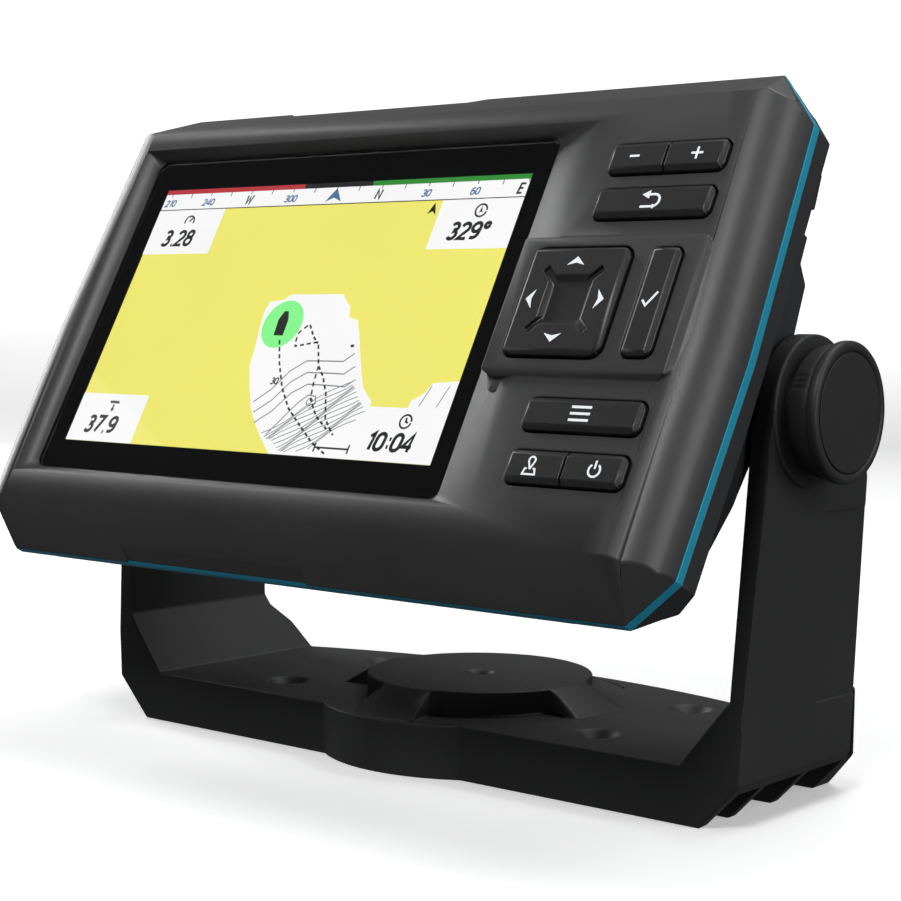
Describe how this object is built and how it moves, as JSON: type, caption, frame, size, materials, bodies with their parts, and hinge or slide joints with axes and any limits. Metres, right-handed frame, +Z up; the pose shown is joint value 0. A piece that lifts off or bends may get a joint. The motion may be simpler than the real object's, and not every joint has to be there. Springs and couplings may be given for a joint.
{
  "type": "chartplotter display",
  "caption": "Keyed marine chartplotter and sonar display head that tilts on a U-shaped surface-mount bracket, held by a clamp knob on each side.",
  "frame": {"origin": "centre of the bracket's middle hole on the surface that the bracket is screwed to", "axes": "+Z up from the mounting surface, +X to the viewer's right along the tilt axis, +Y away from the viewer"},
  "size_m": [0.1974, 0.1041, 0.1426],
  "materials": {
    "bracket_plastic": "fine textured black glass-filled nylon",
    "case_plastic": "fine textured charcoal polycarbonate",
    "cover_plastic": "fine textured dark charcoal polycarbonate",
    "trim_teal": "satin teal-blue moulded trim",
    "black_rubber": "matt black elastomer",
    "stainless": "stainless steel",
    "lens_glass": "clear hardened lens with a black printed border",
    "screen_face": "lit colour display",
    "display_frame": "pressed display frame",
    "flex_film": "amber flexible circuit",
    "circuit_board": "green solder mask",
    "tin_shield": "tin plate",
    "chip_black": "moulded component body",
    "antenna_ceramic": "fired ceramic patch",
    "ferrite": "ferrite core",
    "capacitor_can": "aluminium can with a dark sleeve",
    "key_plastic": "satin dark key cap",
    "mat_silicone": "translucent grey silicone",
    "brass": "turned brass",
    "knob_plastic": "satin black nylon",
    "socket_plastic": "black moulded connector"
  },
  "bodies": {
    "base": {"mount_bracket": "bracket_plastic"},
    "head": {"front_bezel": "case_plastic", "accent_trim": "trim_teal", "rear_cover": "cover_plastic", "case_gasket": "black_rubber", "case_screws": "stainless", "display_lens": "lens_glass", "lens_gasket": "black_rubber", "lcd_panel": "screen_face", "lcd_backlight": "display_frame", "lcd_ribbon": "flex_film", "main_board": "circuit_board", "board_screws": "stainless", "board_shields": "tin_shield", "board_chips": "chip_black", "gps_antenna": "antenna_ceramic", "sonar_transformer": "ferrite", "power_capacitors": "capacitor_can", "buzzer": "chip_black", "keypad_board": "circuit_board", "keypad_ribbon": "flex_film", "key_switches": "stainless", "keypad_mat": "mat_silicone", "socket_shell": "socket_plastic", "socket_pins": "brass", "socket_seal": "black_rubber", "socket_nut": "stainless", "pivot_insert_left": "brass", "pivot_insert_right": "brass", "ear_washer_left": "black_rubber", "ear_washer_right": "black_rubber"},
    "zoom_out_button": {"zoom_out_key": "key_plastic"},
    "zoom_in_button": {"zoom_in_key": "key_plastic"},
    "back_button": {"back_key": "key_plastic"},
    "select_button": {"select_key": "key_plastic"},
    "menu_button": {"menu_key": "key_plastic"},
    "mark_button": {"mark_key": "key_plastic"},
    "power_button": {"power_key": "key_plastic"},
    "dpad_cradle": {"dpad_pivot": "black_rubber"},
    "dpad_button": {"dpad_key": "key_plastic"},
    "clamp_left": {"knob_washer_left": "stainless"},
    "knob_left_grip": {"knob_left": "knob_plastic", "knob_cap_left": "knob_plastic", "knob_stud_left": "stainless"},
    "clamp_right": {"knob_washer_right": "stainless"},
    "knob_right_grip": {"knob_right": "knob_plastic", "knob_cap_right": "knob_plastic", "knob_stud_right": "stainless"}
  },
  "joints": [
    {"name": "head_tilt", "type": "hinge", "parent": "base", "child": "head", "pos_m": [0, -0.0116, 0.0788], "axis": [-1, 0, 0], "range_deg": [-25, 45]},
    {"name": "zoom_out_press", "type": "slide", "parent": "head", "child": "zoom_out_button", "axis": [0, 0.8788, -0.4772], "range_m": [0, 0.0007], "stiffness_N_per_m": 2500},
    {"name": "zoom_in_press", "type": "slide", "parent": "head", "child": "zoom_in_button", "axis": [0, 0.8788, -0.4772], "range_m": [0, 0.0007], "stiffness_N_per_m": 2500},
    {"name": "back_press", "type": "slide", "parent": "head", "child": "back_button", "axis": [0, 0.8788, -0.4772], "range_m": [0, 0.0007], "stiffness_N_per_m": 2500},
    {"name": "select_press", "type": "slide", "parent": "head", "child": "select_button", "axis": [0, 0.8788, -0.4772], "range_m": [0, 0.0007], "stiffness_N_per_m": 2500},
    {"name": "menu_press", "type": "slide", "parent": "head", "child": "menu_button", "axis": [0, 0.8788, -0.4772], "range_m": [0, 0.0007], "stiffness_N_per_m": 2500},
    {"name": "mark_press", "type": "slide", "parent": "head", "child": "mark_button", "axis": [0, 0.8788, -0.4772], "range_m": [0, 0.0007], "stiffness_N_per_m": 2500},
    {"name": "power_press", "type": "slide", "parent": "head", "child": "power_button", "axis": [0, 0.8788, -0.4772], "range_m": [0, 0.0007], "stiffness_N_per_m": 2500},
    {"name": "dpad_up_down", "type": "hinge", "parent": "head", "child": "dpad_cradle", "pos_m": [0.058, -0.04147, 0.0965], "axis": [1, 0, 0], "range_deg": [-2, 2], "stiffness_Nm_per_rad": 0.5},
    {"name": "dpad_left_right", "type": "hinge", "parent": "dpad_cradle", "child": "dpad_button", "pos_m": [0.058, -0.04147, 0.0965], "axis": [0, 0.4772, 0.8788], "range_deg": [-2, 2], "stiffness_Nm_per_rad": 0.5},
    {"name": "knob_left_advance", "type": "slide", "parent": "head", "child": "clamp_left", "axis": [-1, 0, 0], "range_m": [0, 0.0025]},
    {"name": "knob_left_turn", "type": "hinge", "parent": "clamp_left", "child": "knob_left_grip", "pos_m": [-0.0916, -0.0116, 0.0788], "axis": [-1, 0, 0], "range_deg": [0, 906]},
    {"name": "knob_right_advance", "type": "slide", "parent": "head", "child": "clamp_right", "axis": [1, 0, 0], "range_m": [0, 0.0025]},
    {"name": "knob_right_turn", "type": "hinge", "parent": "clamp_right", "child": "knob_right_grip", "pos_m": [0.0916, -0.0116, 0.0788], "axis": [1, 0, 0], "range_deg": [0, 906]}
  ],
  "couplings": [
    {"joint": "knob_left_turn", "follows": "knob_left_advance", "rad_per_m": 6283.2},
    {"joint": "knob_right_turn", "follows": "knob_right_advance", "rad_per_m": 6283.2}
  ]
}
